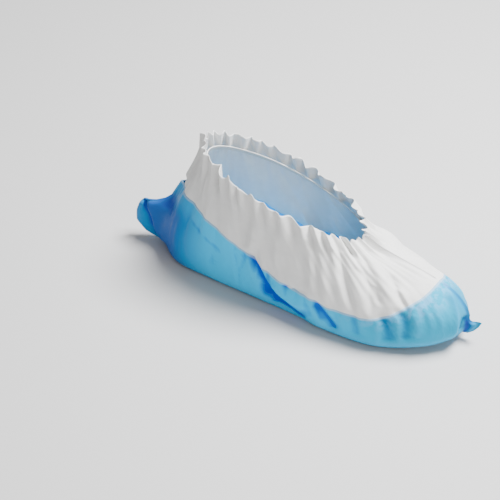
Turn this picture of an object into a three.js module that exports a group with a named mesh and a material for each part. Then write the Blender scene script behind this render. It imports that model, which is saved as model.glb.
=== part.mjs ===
// A disposable shoe cover, opened out to the shape that it has in wear and standing on its sole.
// It is a flat bag: a strip of plastic film is the sole and the lower walls, and a nonwoven
// upper laps inside the film's edge and runs up to a gathered elastic mouth. The bag's two ends
// are welded shut, at the toe and at the heel, and its bottom corners stand out there as ears
// of doubled film.
// Units are millimetres. X runs from heel to toe, Y across (the inner side is -Y) and Z up.
// The finished group is moved so that its origin is the middle of its box, on the floor.
import * as THREE from "three";

// Sizes over all.
const bodyLength = 305; // heel back to toe front, at the walls' widest line
const ballWidth = 110; // across the ball, at the same line
const rollRadius = 9; // rounding between the flat sole and the walls
const toeLift = 7; // how far the sole's front end stands off the floor
const toeLiftLength = 80; // stretch of the sole that rises

// The mouth, an ellipse of elastic that the walls run up to.
const mouthLength = 174;
const mouthWidth = 76;
const mouthSetback = 42; // heel back to the back of the elastic line
const mouthShift = 9; // how far its front lies to the inner side
const mouthFrontHeight = 79;
const mouthBackHeight = 124;
const frillHeight = 14; // cloth that stands above the elastic
const frillFlare = 13; // degrees by which the frill is steeper than the wall under it

// Layers.
const filmWall = 1;
const upperWall = 1.2;
const layerGap = 0.35; // between two pieces that lie on each other
const filmReach = 90; // length of film that stands up at the heel, where it is longest
const filmLap = 10; // overlap of the film over the upper

// The gathers that the elastic makes.
const gatherCount = 36;
const gatherDepth = 2.3; // half of crest to valley, at the elastic
const gatherFade = 13; // distance from the elastic at which the gathers are mostly gone
const foldCount = 18; // soft folds into which the gathers run together
const foldDepth = 1.7;
const foldPeak = 30; // distance from the elastic at which they are deepest
const gatherDrift = 0.0065; // how unevenly the gathers are spaced, in turns
const foldTaper = 0.35; // share of a single fold's length in which each end fades
const foldOverrun = 0.2; // share of its length by which that fading runs past its ends
const elasticWidth = 5;
const elasticThickness = 1;

// The bag's two welded ends, and the ears in which they finish at the bottom.
const weldHeight = 4;
const weldThickness = 1.5;
const earThickness = 2;
const earWave = 6; // how far the heel's ear bends to the side between its root and its rim
const earTurnBack = 1.3; // half waves of that bend: past 1 the rim crosses to the other side
const toeEarReach = 13;
const heelEarReach = 29;

// How finely the cloth is divided.
const stations = gatherCount * 4; // round the cover
const bandStations = stations / 2;
const pathSteps = 30; // along a wall's curve
const rollSteps = 4; // along the sole's roll
const earColumns = 5; // from an ear's root to its rim

// The walls' widest line, seen from above: a row for each place round the cover, at equal turns
// from the heel along the inner side to the toe and back. Along is a share of bodyLength and
// across of ballWidth. Film is the length of film that stands up there, a share of filmReach.
const soleOutline = [
  { place: "heel back", along: 0, across: 0, film: 1 },
  { place: "heel, inner", along: 0.068, across: -0.245, film: 0.98 },
  { place: "heel front, inner", along: 0.213, across: -0.325, film: 0.85 },
  { place: "waist, inner", along: 0.36, across: -0.375, film: 0.61 },
  { place: "instep, inner", along: 0.506, across: -0.445, film: 0.48 },
  { place: "ball, inner", along: 0.662, across: -0.5, film: 0.445 },
  { place: "big toe, inner", along: 0.8, across: -0.48, film: 0.475 },
  { place: "toe corner, inner", along: 0.938, across: -0.32, film: 0.68 },
  { place: "toe front", along: 1, across: -0.03, film: 0.77 },
  { place: "toe corner, outer", along: 0.94, across: 0.27, film: 0.54 },
  { place: "small toe, outer", along: 0.8, across: 0.42, film: 0.43 },
  { place: "ball, outer", along: 0.655, across: 0.485, film: 0.43 },
  { place: "instep, outer", along: 0.51, across: 0.455, film: 0.47 },
  { place: "waist, outer", along: 0.36, across: 0.39, film: 0.6 },
  { place: "heel front, outer", along: 0.213, across: 0.34, film: 0.8 },
  { place: "heel, outer", along: 0.068, across: 0.255, film: 0.96 },
];

// How the wall goes at each of these places from the sole's roll to the elastic line. Rise and
// reach are the two handles of its curve, at its foot and at its top, as shares of the wall's
// height and of its straight length. Lean tips the lower handle outwards, and slope is the
// wall's angle at the elastic, both in degrees.
const wallProfile = [
  { place: "heel back", rise: 0.37, lean: 2, reach: 0.3, slope: 74 },
  { place: "heel, inner", rise: 0.37, lean: 1, reach: 0.31, slope: 75 },
  { place: "heel front, inner", rise: 0.34, lean: 0, reach: 0.34, slope: 74 },
  { place: "waist, inner", rise: 0.3, lean: 0, reach: 0.36, slope: 70 },
  { place: "instep, inner", rise: 0.3, lean: 2, reach: 0.38, slope: 66 },
  { place: "ball, inner", rise: 0.32, lean: 3, reach: 0.42, slope: 58 },
  { place: "big toe, inner", rise: 0.4, lean: 4, reach: 0.46, slope: 42 },
  { place: "toe corner, inner", rise: 0.62, lean: 6, reach: 0.46, slope: 24 },
  { place: "toe front", rise: 0.66, lean: 6, reach: 0.44, slope: 18 },
  { place: "toe corner, outer", rise: 0.36, lean: 4, reach: 0.34, slope: 30 },
  { place: "small toe, outer", rise: 0.28, lean: 3, reach: 0.3, slope: 46 },
  { place: "ball, outer", rise: 0.28, lean: 2, reach: 0.3, slope: 56 },
  { place: "instep, outer", rise: 0.3, lean: 2, reach: 0.34, slope: 66 },
  { place: "waist, outer", rise: 0.3, lean: 0, reach: 0.36, slope: 70 },
  { place: "heel front, outer", rise: 0.34, lean: 0, reach: 0.34, slope: 74 },
  { place: "heel, outer", rise: 0.37, lean: 1, reach: 0.31, slope: 75 },
];

// The bag's ends below the upper: each row goes from a root on the wall, a share of the way up
// the film, to a rim outside it. Out and lift are shares of the ear's reach.
const heelEarRows = [
  { place: "fold", root: 0.08, out: 0.3, lift: -0.05 },
  { place: "fold, outer", root: 0.16, out: 0.75, lift: -0.08 },
  { place: "tip, low", root: 0.27, out: 1, lift: -0.08 },
  { place: "tip", root: 0.4, out: 1.02, lift: -0.08 },
  { place: "tip, high", root: 0.52, out: 0.94, lift: -0.1 },
  { place: "weld, outer", root: 0.62, out: 0.7, lift: -0.08 },
  { place: "weld, inner", root: 0.7, out: 0.3, lift: 0 },
  { place: "weld", root: 0.78, out: 0.14, lift: 0 },
  { place: "weld, top", root: 0.985, out: 0.14, lift: 0 },
];
const toeEarRows = [
  { place: "fold", root: 0.08, out: 0.3, lift: -0.1 },
  { place: "fold, outer", root: 0.15, out: 0.75, lift: 0.2 },
  { place: "tip", root: 0.21, out: 1, lift: 0.5 },
  { place: "tip, high", root: 0.27, out: 0.9, lift: 0.3 },
  { place: "weld, outer", root: 0.33, out: 0.45, lift: 0.05 },
  { place: "weld", root: 0.42, out: 0.3, lift: 0 },
  { place: "weld, bend", root: 0.7, out: 0.3, lift: 0 },
  { place: "weld, top", root: 0.985, out: 0.3, lift: 0 },
];

// Single folds and creases, each from one place on the wall to another, lower one. A place is
// a turn, the share of the way round, and the share of the way up from the floor to the
// elastic. Bow bends the fold sideways. Bow, depth and width are shares of ballWidth, and a
// negative depth is a valley.
const singleFolds = [
  { place: "waist crease", from: [0.184, 0.5], to: [0.212, 0.23], bow: 0.014, depth: -0.045, width: 0.055 },
  { place: "waist hollow", from: [0.207, 0.25], to: [0.262, 0.07], bow: 0.02, depth: -0.045, width: 0.075 },
  { place: "waist lobe", from: [0.21, 0.33], to: [0.268, 0.25], bow: -0.02, depth: 0.033, width: 0.07 },
  { place: "instep hollow", from: [0.285, 0.39], to: [0.311, 0.13], bow: 0.01, depth: -0.04, width: 0.06 },
  { place: "waist, upper", from: [0.22, 0.8], to: [0.198, 0.5], bow: 0.01, depth: -0.017, width: 0.06 },
  { place: "instep, upper", from: [0.257, 0.88], to: [0.24, 0.5], bow: 0, depth: -0.014, width: 0.06 },
  { place: "instep, front", from: [0.309, 0.9], to: [0.293, 0.44], bow: 0, depth: -0.015, width: 0.06 },
  { place: "ball, long", from: [0.377, 0.98], to: [0.338, 0.15], bow: -0.055, depth: -0.03, width: 0.06 },
  { place: "ball, front", from: [0.416, 1], to: [0.368, 0.14], bow: -0.045, depth: -0.024, width: 0.055 },
  { place: "big toe", from: [0.404, 0.66], to: [0.388, 0.14], bow: -0.01, depth: -0.02, width: 0.05 },
  { place: "toe pad", from: [0.424, 0.72], to: [0.407, 0.14], bow: -0.02, depth: -0.024, width: 0.055 },
  { place: "toe corner", from: [0.492, 0.47], to: [0.464, 0.14], bow: -0.03, depth: 0.02, width: 0.065 },
  { place: "toe front, outer", from: [0.54, 0.5], to: [0.532, 0.15], bow: 0, depth: -0.024, width: 0.07 },
  { place: "small toe", from: [0.61, 0.9], to: [0.6, 0.12], bow: 0.02, depth: -0.022, width: 0.065 },
  { place: "ball, outer", from: [0.652, 0.95], to: [0.64, 0.14], bow: 0.03, depth: -0.028, width: 0.06 },
  { place: "instep, outer", from: [0.712, 0.9], to: [0.705, 0.15], bow: 0.02, depth: -0.026, width: 0.065 },
  { place: "waist, outer", from: [0.792, 0.52], to: [0.762, 0.12], bow: 0.02, depth: -0.042, width: 0.075 },
  { place: "heel, outer", from: [0.87, 0.52], to: [0.858, 0.18], bow: 0, depth: -0.015, width: 0.065 },
];

const toeTurn = 0.5;
const up = new THREE.Vector3(0, 0, 1);

// Steps of the differences that give directions along the cloth.
const turnStep = 0.25 / stations;
const distanceStep = 1.5;

const outline = new THREE.CatmullRomCurve3(
  soleOutline.map((row) => new THREE.Vector3(row.along * bodyLength, row.across * ballWidth, 0)),
  true,
  "catmullrom",
  0.5,
);

function smoothStep(x) {
  const t = THREE.MathUtils.clamp(x, 0, 1);
  return t * t * (3 - 2 * t);
}

// A share of the way round, brought into 0 to 1.
function wrapTurn(turn) {
  return ((turn % 1) + 1) % 1;
}

// A column of a table at any turn: a smooth curve through its rows, which are at equal turns.
function columnAt(table, column, turn) {
  const place = wrapTurn(turn) * table.length;
  const i = Math.floor(place);
  const [a, b, c, d] = [i - 1, i, i + 1, i + 2].map((k) => table[(k + table.length) % table.length][column]);
  const t = place - i;
  return b + 0.5 * t * (c - a + t * (2 * a - 5 * b + 4 * c - d + t * (3 * (b - c) + d - a)));
}

// The direction in which the sole's outline faces, outwards.
function outwardAt(turn) {
  const ahead = outline.getPoint(wrapTurn(turn + turnStep));
  const behind = outline.getPoint(wrapTurn(turn - turnStep));
  const along = ahead.sub(behind).normalize();
  return new THREE.Vector3(along.y, -along.x, 0);
}

// Height of the sole's underside over the floor.
function liftAt(x) {
  return toeLift * smoothStep((x - bodyLength + toeLiftLength) / toeLiftLength);
}

// A point of the elastic line: an ellipse seen from above, which slopes down to the front.
function mouthPoint(turn) {
  const angle = Math.PI * (1 - 2 * turn);
  const x = mouthSetback + (mouthLength / 2) * (1 + Math.cos(angle));
  const share = (x - mouthSetback) / mouthLength;
  const z = THREE.MathUtils.lerp(mouthBackHeight, mouthFrontHeight, share);
  const y = (-mouthWidth / 2) * Math.sin(angle) - mouthShift * share;
  return new THREE.Vector3(x, y, z);
}

// The plain wall at one turn, without folds: the sole's roll, a cubic curve up to the elastic
// line and the frill above it, as points with their distance from the floor line.
function makePath(turn) {
  const widest = outline.getPoint(wrapTurn(turn));
  const outward = outwardAt(turn);
  widest.z = rollRadius + liftAt(widest.x);
  const points = [];
  for (let i = 0; i < rollSteps; i++) {
    const angle = ((Math.PI / 2) * i) / rollSteps;
    const point = widest.clone().addScaledVector(outward, rollRadius * (Math.sin(angle) - 1));
    point.z -= rollRadius * Math.cos(angle);
    points.push(point);
  }
  const mouth = mouthPoint(turn);
  const inward = mouth.clone().sub(widest).setZ(0).normalize();
  const height = mouth.z - widest.z;
  const lean = THREE.MathUtils.degToRad(columnAt(wallProfile, "lean", turn));
  const slope = THREE.MathUtils.degToRad(columnAt(wallProfile, "slope", turn));
  const reach = columnAt(wallProfile, "reach", turn) * mouth.distanceTo(widest);
  const lowHandle = widest
    .clone()
    .addScaledVector(up, height * columnAt(wallProfile, "rise", turn))
    .addScaledVector(outward, height * Math.sin(lean));
  const highHandle = mouth
    .clone()
    .addScaledVector(inward, -reach * Math.cos(slope))
    .addScaledVector(up, -reach * Math.sin(slope));
  const wall = new THREE.CubicBezierCurve3(widest, lowHandle, highHandle, mouth);
  points.push(...wall.getPoints(pathSteps));
  const frillSlope = slope + THREE.MathUtils.degToRad(frillFlare);
  points.push(
    mouth
      .clone()
      .addScaledVector(inward, frillHeight * Math.cos(frillSlope))
      .addScaledVector(up, frillHeight * Math.sin(frillSlope)),
  );
  const distances = [0];
  for (let i = 1; i < points.length; i++) {
    distances.push(distances[i - 1] + points[i].distanceTo(points[i - 1]));
  }
  return { points, distances, elastic: distances[distances.length - 2] };
}

const paths = new Map();

function pathAt(turn) {
  const key = wrapTurn(turn).toFixed(7);
  if (!paths.has(key)) paths.set(key, makePath(wrapTurn(turn)));
  return paths.get(key);
}

// Length of wall from the floor line to the film's upper edge.
function filmEdge(turn) {
  return filmReach * columnAt(soleOutline, "film", turn);
}

// The plain wall at a distance from the floor line.
function plainPoint(turn, distance) {
  const { points, distances } = pathAt(turn);
  let i = distances.findIndex((d) => d > distance);
  if (i < 0) i = distances.length - 1;
  i = Math.max(1, i);
  const share = (distance - distances[i - 1]) / (distances[i] - distances[i - 1]);
  return points[i - 1].clone().lerp(points[i], share);
}

// The outward normal of a surface given as a function of turn and distance.
function normalOf(surface, turn, distance) {
  const round = surface(turn + turnStep, distance).sub(surface(turn - turnStep, distance));
  const rise = surface(turn, distance + distanceStep).sub(surface(turn, distance - distanceStep));
  return round.cross(rise).normalize();
}

// Uneven spacing of the gathers. It is nothing at the heel and at the toe, so a crest always
// stands under each weld.
function unevenTurn(turn) {
  const angle = 2 * Math.PI * turn;
  return turn + gatherDrift * (0.6 * Math.sin(5 * angle) + 0.4 * Math.sin(12 * angle));
}

// The walls' length round the cover, about, for sizes across the folds.
const girth = 2 * bodyLength + ballWidth;

// A place on the unrolled wall: length round the cover and distance from the floor line.
const foldLines = singleFolds.map((row) => {
  const placeAt = ([turn, share]) => new THREE.Vector2(turn * girth, share * pathAt(turn).elastic);
  const start = placeAt(row.from);
  return { ...row, start, line: placeAt(row.to).sub(start) };
});

// Depth of a single fold at a place on the wall: a bell across the fold's line, which is a
// parabola, fading in and out just past its two ends.
function singleFold(row, turn, distance) {
  const place = new THREE.Vector2(turn * girth, distance).sub(row.start);
  const along = place.dot(row.line) / row.line.lengthSq();
  const sideways = 4 * THREE.MathUtils.clamp(along * (1 - along), -0.5, 0.25);
  const across = (row.line.cross(place) / row.line.length() / ballWidth - row.bow * sideways) / row.width;
  const fadeIn = smoothStep((along + foldOverrun) / foldTaper);
  const fadeOut = smoothStep((1 + foldOverrun - along) / foldTaper);
  return row.depth * ballWidth * fadeIn * fadeOut * Math.exp(-across * across);
}

// How far the folds move the cloth out of the plain wall.
function foldOffset(turn, distance) {
  const { elastic } = pathAt(turn);
  const below = elastic - distance;
  const crests = unevenTurn(turn) * 2 * Math.PI;
  const gathers = Math.cos(gatherCount * crests) * Math.exp(-Math.abs(below) / gatherFade);
  const depth = below > 0 ? (below / foldPeak) * Math.exp(1 - below / foldPeak) : 0;
  const folds = Math.cos(foldCount * crests) * depth;
  const singles = foldLines.reduce((sum, row) => sum + singleFold(row, wrapTurn(turn), distance), 0);
  const offFloor = smoothStep((distance - rollRadius) / (3 * rollRadius));
  const offSole = smoothStep(distance / rollRadius - 1 / 3);
  const offElastic = smoothStep(below / gatherFade);
  return (gatherDepth * gathers + foldDepth * folds) * offFloor + singles * offElastic * offSole;
}

function clothPoint(turn, distance) {
  const normal = normalOf(plainPoint, turn, distance);
  return plainPoint(turn, distance).addScaledVector(normal, foldOffset(turn, distance));
}

// The cloth at a height over the face where the two layers meet, outwards positive.
function layerPoint(turn, distance, offset) {
  return clothPoint(turn, distance).addScaledVector(normalOf(clothPoint, turn, distance), offset);
}

// A ring of points round the cover. Place gives the distance from the floor line at a turn.
function ring(place, offset) {
  return Array.from({ length: stations }, (_, i) => {
    const turn = i / stations;
    return layerPoint(turn, place(turn), offset);
  });
}

// Rows of the film, from the floor line to its edge, and of the upper, from its hidden lower
// edge to the frill's rim. The two share their rows where they lie on each other.
const rollLength = (Math.PI / 2) * rollRadius;
const lapStart = (turn) => filmEdge(turn) - filmLap;
const filmRows = [
  () => rollLength / 2,
  () => rollLength,
  (turn) => THREE.MathUtils.lerp(rollLength, lapStart(turn), 1 / 3),
  (turn) => THREE.MathUtils.lerp(rollLength, lapStart(turn), 2 / 3),
  lapStart,
  filmEdge,
];
const upperShares = [0.2, 0.4, 0.6, 0.78, 0.91, 1];
const upperRows = [
  lapStart,
  filmEdge,
  ...upperShares.map((share) => (turn) => THREE.MathUtils.lerp(filmEdge(turn), pathAt(turn).elastic, share)),
  (turn) => pathAt(turn).elastic + frillHeight / 2,
  (turn) => pathAt(turn).elastic + frillHeight,
];

// The film's floor line, as a ring at a height over the sole's underside.
function floorRing(height, inset) {
  return Array.from({ length: stations }, (_, i) => {
    const turn = i / stations;
    const point = plainPoint(turn, 0).addScaledVector(outwardAt(turn), -inset);
    point.z += height;
    return point;
  });
}

// Joins rings of equal length, in order, into one surface. A closed list of rings runs back to
// its first one. The faces look to the left of the way from ring to ring. From the ring where
// the way turns back on itself the faces are split along their other diagonal, so the two sides
// of a wall are split alike.
function joinRings(rings, closed, turnBack = rings.length) {
  const size = rings[0].length;
  const positions = rings.flat().flatMap((p) => [p.x, p.y, p.z]);
  const faces = [];
  const last = closed ? rings.length : rings.length - 1;
  for (let r = 0; r < last; r++) {
    const low = r * size;
    const high = ((r + 1) % rings.length) * size;
    for (let i = 0; i < size; i++) {
      const j = (i + 1) % size;
      if (r < turnBack) faces.push(low + i, low + j, high + j, low + i, high + j, high + i);
      else faces.push(low + i, low + j, high + i, low + j, high + j, high + i);
    }
  }
  return { positions, faces, size, count: rings.length };
}

// Closes a ring with strips from its first half to its second half. The ring's last point lies
// across from its first one, or, for a ring that starts on its axis, from its second one.
function closeRing(surface, ringIndex, facingBack, onAxis) {
  const { size, faces } = surface;
  const at = (i) => ringIndex * size + (i % size);
  const start = onAxis ? size : size - 1;
  for (let i = 0; i < size / 2; i++) {
    const corners = [at(i), at(i + 1), at(start - i - 1), at(start - i)];
    for (const face of [corners.slice(0, 3), [corners[0], corners[2], corners[3]]]) {
      if (new Set(face).size < 3) continue;
      faces.push(...(facingBack ? face.reverse() : face));
    }
  }
}

function geometryOf({ positions, faces }) {
  const geometry = new THREE.BufferGeometry();
  geometry.setAttribute("position", new THREE.Float32BufferAttribute(positions, 3));
  geometry.setIndex(faces);
  geometry.computeVertexNormals();
  return geometry;
}

const nonwoven = new THREE.MeshStandardMaterial({ color: 0xe6e6e4, roughness: 0.85, metalness: 0 });
const film = new THREE.MeshStandardMaterial({ color: 0x55a8cf, roughness: 0.3, metalness: 0 });
const rubber = new THREE.MeshStandardMaterial({ color: 0xf0efe9, roughness: 0.6, metalness: 0 });

function piece(name, surface, material) {
  const mesh = new THREE.Mesh(geometryOf(surface), material);
  mesh.name = name;
  return mesh;
}

const filmInside = layerGap / 2;
const filmOutside = filmInside + filmWall;
const upperOutside = -layerGap / 2;
const upperInside = upperOutside - upperWall;

// The film: sole and lower walls in one tray.
function soleFilm() {
  const outer = [floorRing(0, 0), ...filmRows.map((place) => ring(place, filmOutside))];
  const inner = [floorRing(filmWall, filmWall), ...filmRows.map((place) => ring(place, filmInside))];
  const surface = joinRings([...outer, ...inner.reverse()], false, outer.length);
  closeRing(surface, 0, true, true);
  closeRing(surface, surface.count - 1, false, true);
  return piece("sole_film", surface, film);
}

// The upper: a wall that runs round the cover from the lap to the frill's rim.
function upper() {
  const outer = upperRows.map((place) => ring(place, upperOutside));
  const inner = upperRows.map((place) => ring(place, upperInside));
  return piece("upper", joinRings([...outer, ...inner.reverse()], true, outer.length), nonwoven);
}

// The elastic: a flat band inside the gathers, against their valleys.
function elasticBand() {
  const outside = upperInside - gatherDepth - layerGap;
  const corners = [
    [-0.5, 0],
    [0.5, 0],
    [0.5, 1],
    [-0.5, 1],
  ];
  const rings = corners.map(([width, depth]) =>
    Array.from({ length: bandStations }, (_, i) => {
      const turn = i / bandStations;
      const { elastic } = pathAt(turn);
      const normal = normalOf(plainPoint, turn, elastic - elasticWidth);
      const rise = plainPoint(turn, elastic).sub(plainPoint(turn, elastic - elasticWidth)).normalize();
      return plainPoint(turn, elastic)
        .addScaledVector(rise, width * elasticWidth)
        .addScaledVector(normal, outside - depth * elasticThickness);
    }),
  );
  return piece("elastic_band", joinRings(rings, true), rubber);
}

// A solid that runs through equal sections, closed at its two ends.
function blockOf(sections) {
  const surface = joinRings(sections, false);
  closeRing(surface, 0, true, false);
  closeRing(surface, surface.count - 1, false, false);
  return surface;
}

// The direction along the wall, level, at a turn.
function alongAt(turn) {
  const outward = outwardAt(turn);
  return new THREE.Vector3(-outward.y, outward.x, 0);
}

// A weld of the upper: a thin fin that stands on the cloth along one turn.
function upperWeld(name, turn) {
  const start = (at) => filmEdge(at) + layerGap;
  const sections = [start, ...upperRows.slice(2)].map((place) => {
    const normal = normalOf(plainPoint, turn, place(turn));
    const root = layerPoint(turn, place(turn), upperOutside + layerGap);
    return [
      [-0.5, 0],
      [-0.5, 1],
      [0.5, 1],
      [0.5, 0],
    ].map(([side, out]) =>
      root
        .clone()
        .addScaledVector(alongAt(turn), side * weldThickness)
        .addScaledVector(normal, out * weldHeight),
    );
  });
  return piece(name, blockOf(sections), nonwoven);
}

// A value of a table that runs up the film, at a share of the film's height.
function rowValue(rows, column, root) {
  const next = Math.max(1, rows.findIndex((row) => row.root >= root));
  const [a, b] = [rows[next - 1], rows[next]];
  return THREE.MathUtils.lerp(a[column], b[column], (root - a.root) / (b.root - a.root));
}

// A weld of the film with the ear at its foot: a doubled sheet through a table's rows and
// through the film's own rows, on the film's flat faces. It is bent to one side and back
// between its root and its rim.
function filmEar(name, turn, rows, reach) {
  const edge = filmEdge(turn);
  const nodes = filmRows.map((place) => {
    const distance = place(turn);
    return { root: distance / edge, point: layerPoint(turn, distance, filmOutside + layerGap) };
  });
  const last = rows[rows.length - 1].root;
  const between = nodes.map((node) => node.root).filter((root) => root > rows[0].root && root < last);
  const roots = [...new Set([...rows.map((row) => row.root), ...between])].sort((a, b) => a - b);
  const sections = roots.map((value) => {
    const next = Math.max(1, nodes.findIndex((node) => node.root >= value));
    const [low, high] = [nodes[next - 1], nodes[next]];
    const root = low.point.clone().lerp(high.point, (value - low.root) / (high.root - low.root));
    const out = rowValue(rows, "out", value);
    const rim = root
      .clone()
      .addScaledVector(outwardAt(turn), out * reach)
      .addScaledVector(up, rowValue(rows, "lift", value) * reach);
    const line = Array.from({ length: earColumns }, (_, i) => {
      const share = i / (earColumns - 1);
      const bend = (reach / heelEarReach) * earWave * out * Math.sin(Math.PI * earTurnBack * share);
      return root.clone().lerp(rim, share).addScaledVector(alongAt(turn), -bend);
    });
    const side = (half) => line.map((p) => p.clone().addScaledVector(alongAt(turn), half * earThickness));
    return [...side(-0.5), ...side(0.5).reverse()];
  });
  return piece(name, blockOf(sections), film);
}

const cover = new THREE.Group();
cover.add(
  soleFilm(),
  upper(),
  elasticBand(),
  upperWeld("toe_weld", toeTurn),
  upperWeld("heel_weld", 0),
  filmEar("toe_ear", toeTurn, toeEarRows, toeEarReach),
  filmEar("heel_ear", 0, heelEarRows, heelEarReach),
);

const box = new THREE.Box3().setFromObject(cover);
const middle = box.getCenter(new THREE.Vector3());
cover.position.set(-middle.x, -middle.y, -box.min.z);

const shoeCover = new THREE.Group();
shoeCover.add(cover);
export default shoeCover;
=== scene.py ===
import math

import bmesh
import bpy
import numpy as np
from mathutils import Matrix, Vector


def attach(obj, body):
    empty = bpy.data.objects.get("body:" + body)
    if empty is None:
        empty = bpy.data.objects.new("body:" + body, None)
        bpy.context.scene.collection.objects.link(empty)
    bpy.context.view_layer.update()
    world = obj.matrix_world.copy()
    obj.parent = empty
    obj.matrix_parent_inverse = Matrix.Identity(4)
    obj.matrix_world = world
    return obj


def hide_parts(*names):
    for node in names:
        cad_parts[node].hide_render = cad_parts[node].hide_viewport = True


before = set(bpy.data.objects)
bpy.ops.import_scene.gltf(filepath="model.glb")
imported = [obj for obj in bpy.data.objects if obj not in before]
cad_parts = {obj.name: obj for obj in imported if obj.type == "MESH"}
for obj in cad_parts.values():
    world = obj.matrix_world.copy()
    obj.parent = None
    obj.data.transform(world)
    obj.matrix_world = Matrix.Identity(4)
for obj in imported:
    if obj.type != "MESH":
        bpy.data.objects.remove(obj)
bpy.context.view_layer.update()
print("frame loaded with", len(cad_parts), "nodes")

# The cover's plain shape, in millimetres and degrees. X runs from the heel's back to the toe,
# -Y is the inner side and Z is up.
cover = {
    "length": 305.0,
    "width": 110.0,
    "roll": 9.0,  # radius between the sole and the walls
    "toeLift": 7.0,
    "toeLiftLength": 80.0,
    "mouthLength": 174.0,
    "mouthWidth": 76.0,
    "mouthSetback": 42.0,  # from the heel's back to the back of the elastic
    "mouthShift": 9.0,  # of the mouth's front to the inner side
    "mouthFront": 79.0,
    "mouthBack": 124.0,
    "frill": 14.0,
    "frillFlare": 13.0,
    "film": 90.0,  # how far it stands up the heel
    "lap": 10.0,  # of the film over the upper
    "girth": 720.0,  # a full turn, as a length round the cover
    "middle": (144.61, -1.375, 0.0),  # the place of the row frame's origin
}
zAxis = np.array([0.0, 0.0, 1.0])

# Places at equal turns, from the heel's back along the inner side to the toe and back: along
# and across as shares of the length and width, and the film's height as a share of film.
outlineRows = np.array([
    (0.000, -0.000, 1.00), (0.068, -0.245, 0.98), (0.213, -0.325, 0.85), (0.360, -0.375, 0.61),
    (0.506, -0.445, 0.48), (0.662, -0.500, 0.445), (0.800, -0.480, 0.475), (0.938, -0.320, 0.68),
    (1.000, -0.030, 0.77), (0.940, 0.270, 0.54), (0.800, 0.420, 0.43), (0.655, 0.485, 0.43),
    (0.510, 0.455, 0.47), (0.360, 0.390, 0.60), (0.213, 0.340, 0.80), (0.068, 0.255, 0.96),
])

# At the same places, the wall's curve: rise and lean of its lower handle, reach of its upper
# one, and its slope at the elastic.
wallRows = np.array([
    (0.37, 2, 0.30, 74), (0.37, 1, 0.31, 75), (0.34, 0, 0.34, 74), (0.30, 0, 0.36, 70),
    (0.30, 2, 0.38, 66), (0.32, 3, 0.42, 58), (0.40, 4, 0.46, 42), (0.62, 6, 0.46, 24),
    (0.62, 3, 0.46, 20), (0.36, 4, 0.34, 30), (0.28, 3, 0.30, 46), (0.28, 2, 0.30, 56),
    (0.30, 2, 0.34, 66), (0.30, 0, 0.36, 70), (0.34, 0, 0.34, 74), (0.37, 1, 0.31, 75),
])

# At the same places, how the gathers' folds lean towards the heel, as a share of the most.
leanRows = np.array([0, 0.1, 0.3, 0.6, 0.9, 1, 1, 1, 0, -1, -1, -1, -0.9, -0.6, -0.3, -0.1])

# The gathers under the elastic and the folds that they run into.
gathers = {
    "count": 36,
    "depth": 2.3,
    "fade": 13.0,
    "foldCount": 18,
    "foldDepth": 1.2,
    "foldPeak": 30.0,  # distance under the elastic at which the folds are deepest
    "lean": 0.055,  # the most, in turns for each 100 mm
    "leanLength": 80.0,
    "drift": 0.0065,  # how unevenly they are spaced, in turns
    "driftWaves": ((0.6, 5), (0.4, 12)),  # share of the drift, and waves round the cover
    "pinch": 0.40,  # how sharp their valleys are, from 0 to 1
    "ruffle": -0.15,  # how much deeper they are at the frill's rim
    "curl": 0.9,
    "curlUneven": 3.0,
    "ragged": 0.10,  # how unevenly the frill ends
    "uneven": 0.35,
}

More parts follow.
